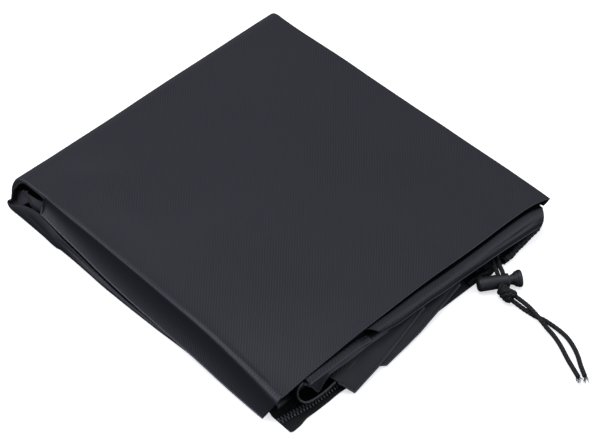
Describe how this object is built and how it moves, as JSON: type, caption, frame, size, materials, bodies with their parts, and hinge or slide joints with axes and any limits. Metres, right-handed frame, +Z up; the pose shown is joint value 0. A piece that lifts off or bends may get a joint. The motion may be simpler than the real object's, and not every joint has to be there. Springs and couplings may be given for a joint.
{
  "type": "folded patio umbrella cover",
  "caption": "Black coated cloth cover for a patio umbrella, folded to a flat layered packet, with a zip end, and a drawcord with a push-button cord lock and a knot.",
  "frame": {"origin": "on the surface that the packet lies on, under the middle of the packet without its loose cord", "axes": "+Z up through the layers; +X from the folded spine to the open side with the drawcord; +Y from the side with the turned wall and the zip end to the opposite side"},
  "size_m": [0.3548, 0.2404, 0.0274],
  "materials": {
    "outer_cloth": "satin",
    "inner_cloth": "satin",
    "tape_cloth": "matt",
    "coil_nylon": "satin",
    "lock_plastic": "semi-gloss",
    "cord_braid": "matt"
  },
  "bodies": {
    "cover": {"front_panel": "outer_cloth", "back_panel": "inner_cloth", "zip_tape": "tape_cloth", "zip_coil": "coil_nylon", "cord_lock_barrel": "lock_plastic", "cord_strand_a": "cord_braid", "cord_strand_b": "cord_braid", "cord_knot": "cord_braid", "cord_tail_a": "cord_braid", "cord_tail_b": "cord_braid"},
    "plunger": {"cord_lock_plunger": "lock_plastic"}
  },
  "joints": [
    {"name": "plunger_press", "type": "slide", "parent": "cover", "child": "plunger", "axis": [-0.5599, -0.8279, -0.034], "range_m": [0, 0.0025], "stiffness_N_per_m": 300}
  ]
}
